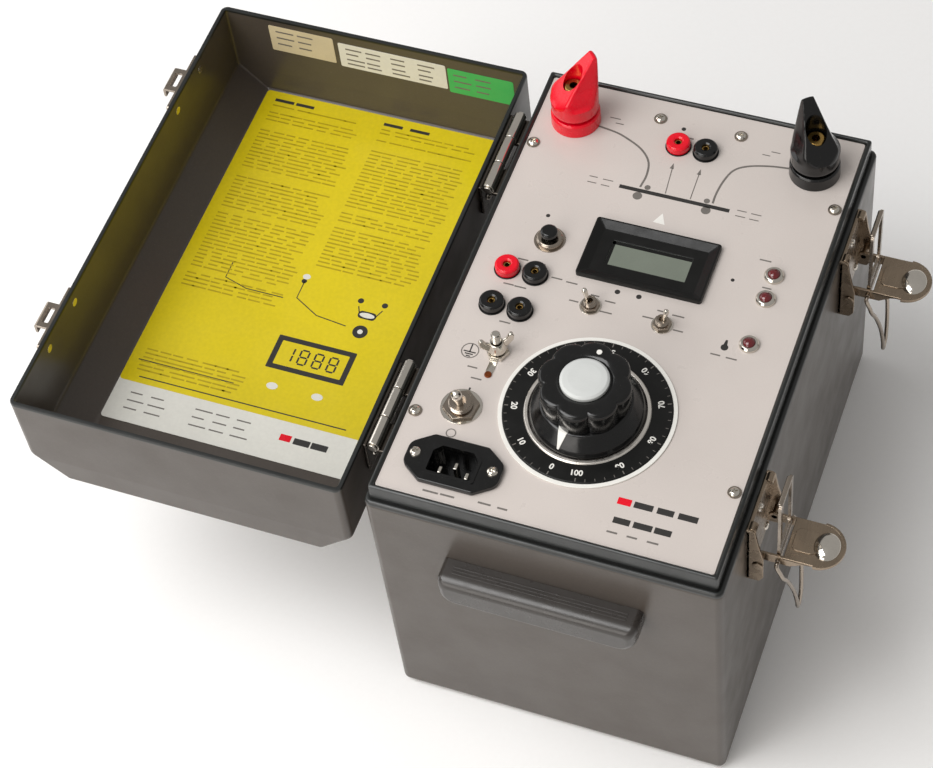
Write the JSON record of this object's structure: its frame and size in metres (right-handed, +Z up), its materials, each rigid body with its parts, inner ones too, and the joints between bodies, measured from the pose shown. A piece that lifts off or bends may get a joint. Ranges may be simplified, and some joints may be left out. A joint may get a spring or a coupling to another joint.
{
  "type": "electrical test instrument",
  "caption": "Portable low-resistance tester in a lidded carrying case with current terminals, rotary control, display, switches and draw latches.",
  "frame": {"origin": "centre of the flat underside of the case", "axes": "+X towards the latches, +Y from the carry grip to the back, +Z up; the lid is open on the -X side"},
  "size_m": [0.4284, 0.2953, 0.2399],
  "materials": {
    "case_paint": "dark teal-grey semi-gloss paint with a fine texture",
    "frame_black": "black satin coated rim extrusion",
    "panel_grey": "light warm grey lacquered sheet with printed lines",
    "grip_plastic": "dark moulded grip plastic, satin",
    "nickel": "nickel-plated steel, bright",
    "red_plastic": "red moulded insulation",
    "black_plastic": "black moulded insulation",
    "brass": "turned brass, nickel flashed",
    "copper": "copper bar and enamelled winding",
    "core_steel": "laminated core steel, varnished",
    "board_green": "glass-epoxy circuit board",
    "display_glass": "liquid-crystal display window",
    "red_lens": "moulded red lamp lens",
    "label_yellow": "yellow printed sheet with a white foot",
    "knob_cap_grey": "light grey moulded cap"
  },
  "bodies": {
    "case": {"busbar_black": "copper", "busbar_red": "copper", "button_bushing": "nickel", "carry_grip": "grip_plastic", "case_shell": "case_paint", "circuit_board": "board_green", "current_transformer": "core_steel", "dial_scale_ring": "black_plastic", "display_bezel": "black_plastic", "display_window": "display_glass", "earth_post": "nickel", "front_panel": "panel_grey", "hinge_leaf_case_back": "nickel", "hinge_leaf_case_front": "nickel", "inlet_socket": "black_plastic", "lamp_lower_bezel": "nickel", "lamp_lower_lens": "red_lens", "lamp_middle_bezel": "nickel", "lamp_middle_lens": "red_lens", "lamp_upper_bezel": "nickel", "lamp_upper_lens": "red_lens", "latch_plate_back": "nickel", "latch_plate_front": "nickel", "mains_toggle_bushing": "nickel", "regulator_core": "copper", "rim_frame": "frame_black", "socket_aux_black": "black_plastic", "socket_aux_red": "red_plastic", "socket_out_left": "black_plastic", "socket_out_right": "black_plastic", "socket_sense_black": "black_plastic", "socket_sense_red": "red_plastic", "terminal_collar_black": "black_plastic", "terminal_collar_red": "red_plastic", "terminal_stud_black": "brass", "terminal_stud_red": "brass", "toggle_left_bushing": "nickel", "toggle_right_bushing": "nickel"},
    "lid": {"lid_shell": "case_paint", "instruction_label": "label_yellow", "hinge_leaf_lid_front": "nickel", "hinge_leaf_lid_back": "nickel", "lid_keeper_front": "nickel", "lid_keeper_back": "nickel"},
    "latch_lever_front": {"latch_lever_front": "nickel"},
    "latch_link_front": {"latch_link_front": "nickel"},
    "latch_wire_front": {"latch_wire_front": "nickel"},
    "latch_lever_back": {"latch_lever_back": "nickel"},
    "latch_link_back": {"latch_link_back": "nickel"},
    "latch_wire_back": {"latch_wire_back": "nickel"},
    "wing_knob_red": {"wing_knob_red": "red_plastic"},
    "wing_knob_black": {"wing_knob_black": "black_plastic"},
    "dial": {"dial_knob": "black_plastic", "dial_cap": "knob_cap_grey", "dial_shaft": "nickel"},
    "toggle_left_lever": {"toggle_left_lever": "nickel"},
    "toggle_right_lever": {"toggle_right_lever": "nickel"},
    "mains_toggle_lever": {"mains_toggle_lever": "nickel"},
    "button": {"button_cap": "black_plastic"},
    "earth_nut": {"earth_wing_nut": "nickel"}
  },
  "joints": [
    {"name": "lid_hinge", "type": "hinge", "parent": "case", "child": "lid", "pos_m": [-0.0968, 0, 0.1865], "axis": [0, 1, 0], "range_deg": [0, 180]},
    {"name": "latch_lever_front", "type": "hinge", "parent": "case", "child": "latch_lever_front", "pos_m": [0.0968, -0.083, 0.154], "axis": [0, 1, 0], "range_deg": [-15, 85]},
    {"name": "latch_link_front", "type": "hinge", "parent": "latch_lever_front", "child": "latch_link_front", "pos_m": [0.10522, -0.083, 0.15282], "axis": [0, 1, 0], "range_deg": [-85, 15]},
    {"name": "latch_wire_front", "type": "hinge", "parent": "latch_lever_front", "child": "latch_wire_front", "pos_m": [0.10522, -0.083, 0.15282], "axis": [0, 1, 0], "range_deg": [-77.52, 13.68]},
    {"name": "latch_lever_back", "type": "hinge", "parent": "case", "child": "latch_lever_back", "pos_m": [0.0968, 0.083, 0.154], "axis": [0, 1, 0], "range_deg": [-15, 85]},
    {"name": "latch_link_back", "type": "hinge", "parent": "latch_lever_back", "child": "latch_link_back", "pos_m": [0.10522, 0.083, 0.15282], "axis": [0, 1, 0], "range_deg": [-85, 15]},
    {"name": "latch_wire_back", "type": "hinge", "parent": "latch_lever_back", "child": "latch_wire_back", "pos_m": [0.10522, 0.083, 0.15282], "axis": [0, 1, 0], "range_deg": [-77.52, 13.68]},
    {"name": "wing_knob_red", "type": "hinge", "parent": "case", "child": "wing_knob_red", "pos_m": [-0.065, 0.11, 0.2049], "axis": [0, 0, 1], "range_deg": [-180, 180]},
    {"name": "wing_knob_black", "type": "hinge", "parent": "case", "child": "wing_knob_black", "pos_m": [0.065, 0.11, 0.2049], "axis": [0, 0, 1], "range_deg": [-180, 180]},
    {"name": "dial_turn", "type": "hinge", "parent": "case", "child": "dial", "pos_m": [0, -0.065, 0.1949], "axis": [0, 0, -1], "range_deg": [0, 340]},
    {"name": "toggle_left", "type": "hinge", "parent": "case", "child": "toggle_left_lever", "pos_m": [-0.019, -0.004, 0.1949], "axis": [0, 1, 0], "range_deg": [0, 24]},
    {"name": "toggle_right", "type": "hinge", "parent": "case", "child": "toggle_right_lever", "pos_m": [0.019, -0.005, 0.1949], "axis": [0, 1, 0], "range_deg": [-24, 0]},
    {"name": "mains_toggle", "type": "hinge", "parent": "case", "child": "mains_toggle_lever", "pos_m": [-0.0605, -0.08, 0.1949], "axis": [1, 0, 0], "range_deg": [-24, 0]},
    {"name": "button_press", "type": "slide", "parent": "case", "child": "button", "axis": [0, 0, -1], "range_m": [0, 0.002], "stiffness_N_per_m": 400, "springref_m": -0.002},
    {"name": "earth_nut_turn", "type": "hinge", "parent": "case", "child": "earth_nut", "pos_m": [-0.0542, -0.044, 0.198], "axis": [0, 0, 1], "range_deg": [-180, 180]}
  ],
  "couplings": [
    {"joint": "latch_link_front", "follows": "latch_lever_front", "ratio": -1},
    {"joint": "latch_link_back", "follows": "latch_lever_back", "ratio": -1},
    {"joint": "latch_wire_front", "follows": "latch_lever_front", "ratio": -0.912},
    {"joint": "latch_wire_back", "follows": "latch_lever_back", "ratio": -0.912}
  ]
}
